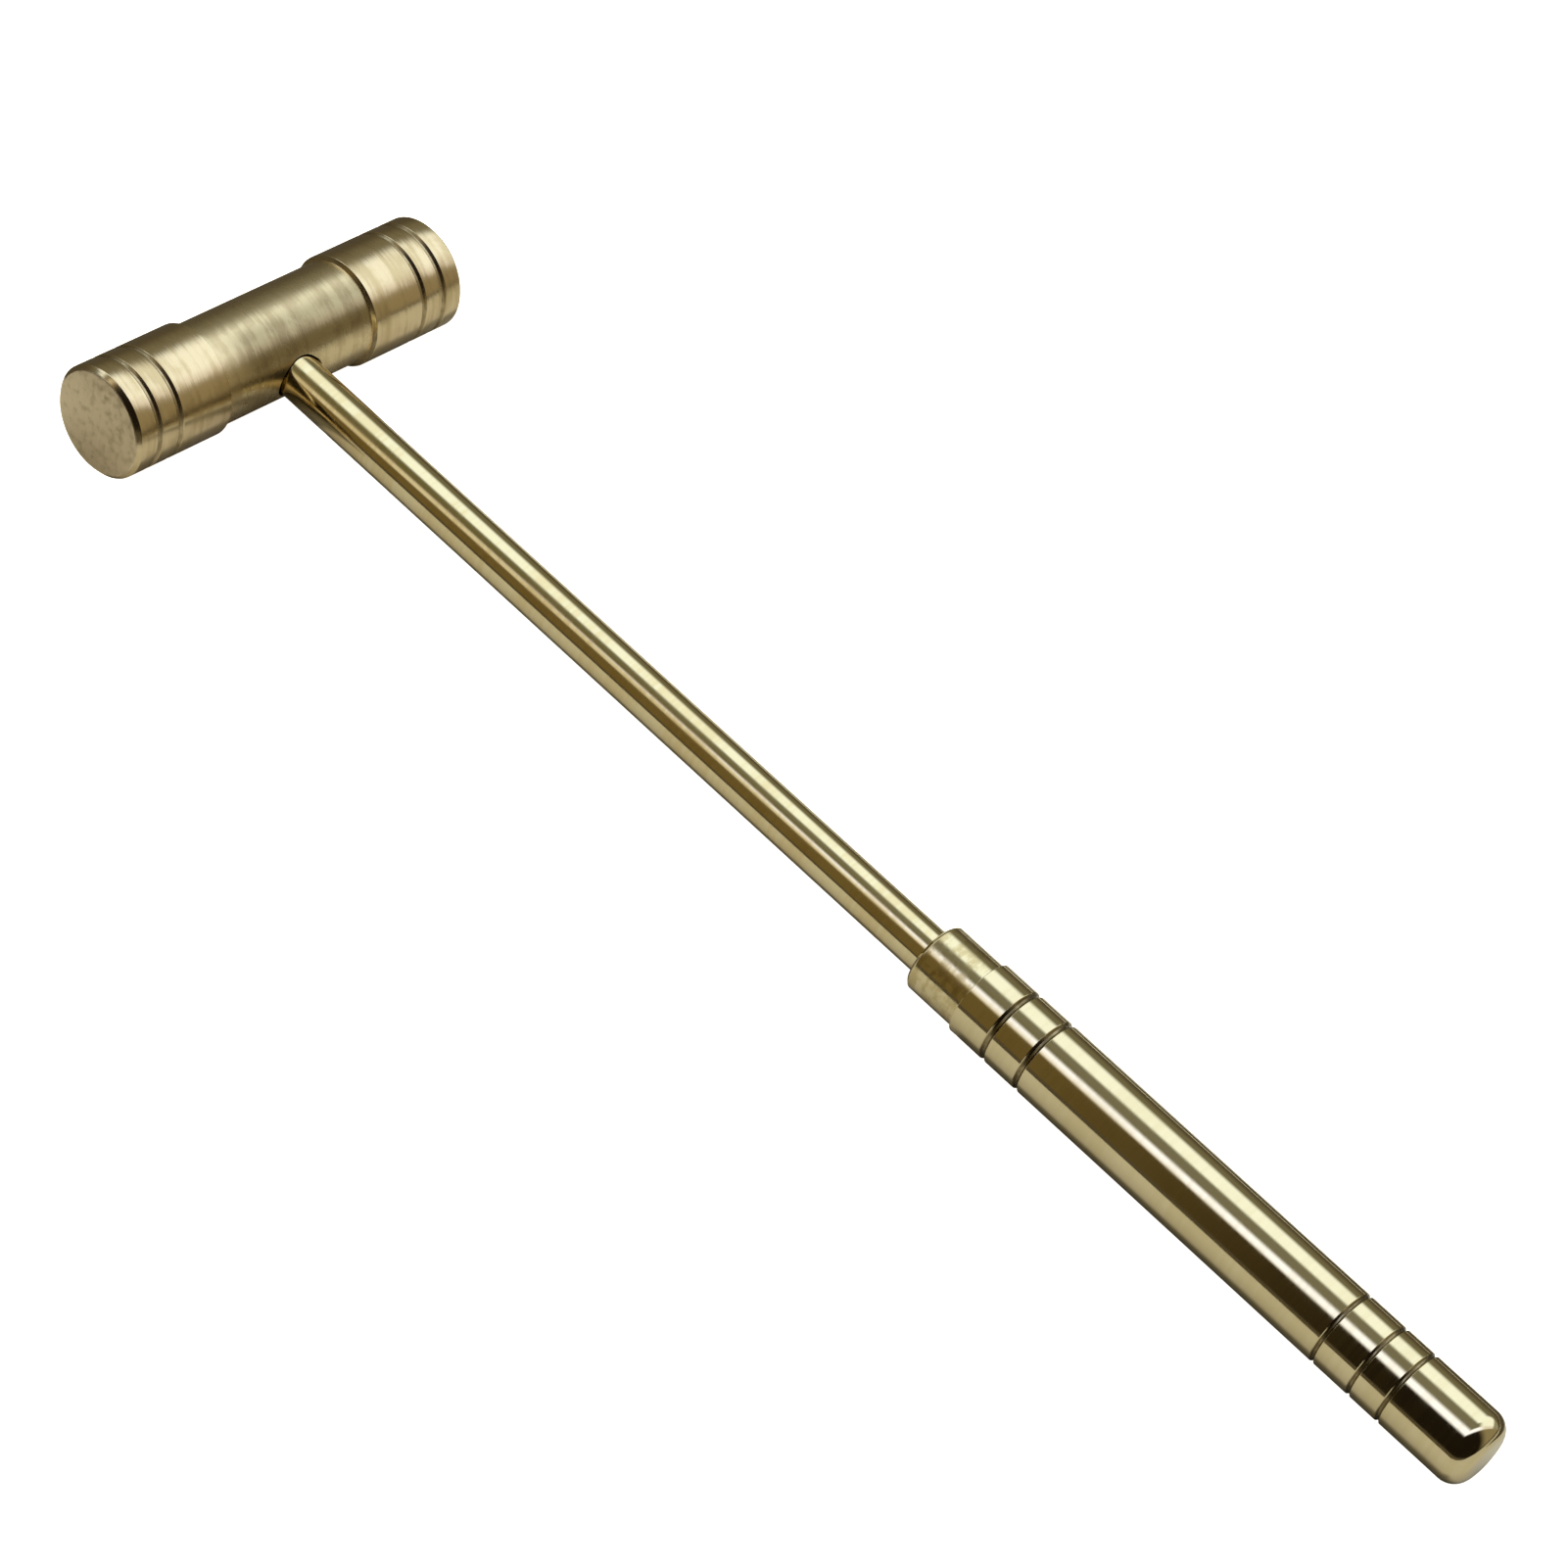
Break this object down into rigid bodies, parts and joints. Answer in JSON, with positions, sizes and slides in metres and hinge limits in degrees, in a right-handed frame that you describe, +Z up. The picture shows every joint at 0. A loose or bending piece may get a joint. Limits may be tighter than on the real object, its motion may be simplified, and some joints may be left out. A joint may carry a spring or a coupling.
{
  "type": "brass hammer",
  "caption": "Small all-brass double-faced hammer or carving mallet: turned head on a slim round shaft screwed into a thicker turned handle.",
  "frame": {"origin": "under the middle of the whole hammer, on the surface that the head's drums rest on", "axes": "+X along the handle from the head to the butt, +Y along the head's axis, +Z up from the surface that the hammer lies on"},
  "size_m": [0.2114, 0.055, 0.0148],
  "materials": {
    "satin_brass": "turned satin, with fine turning marks round the head and matt striking faces",
    "polished_rod_brass": "polished drawn rod",
    "polished_grip_brass": "polished bar, with a finely ripple-turned neck"
  },
  "bodies": {
    "root": {"head": "satin_brass", "shaft": "polished_rod_brass", "handle": "polished_grip_brass"}
  },
  "joints": []
}
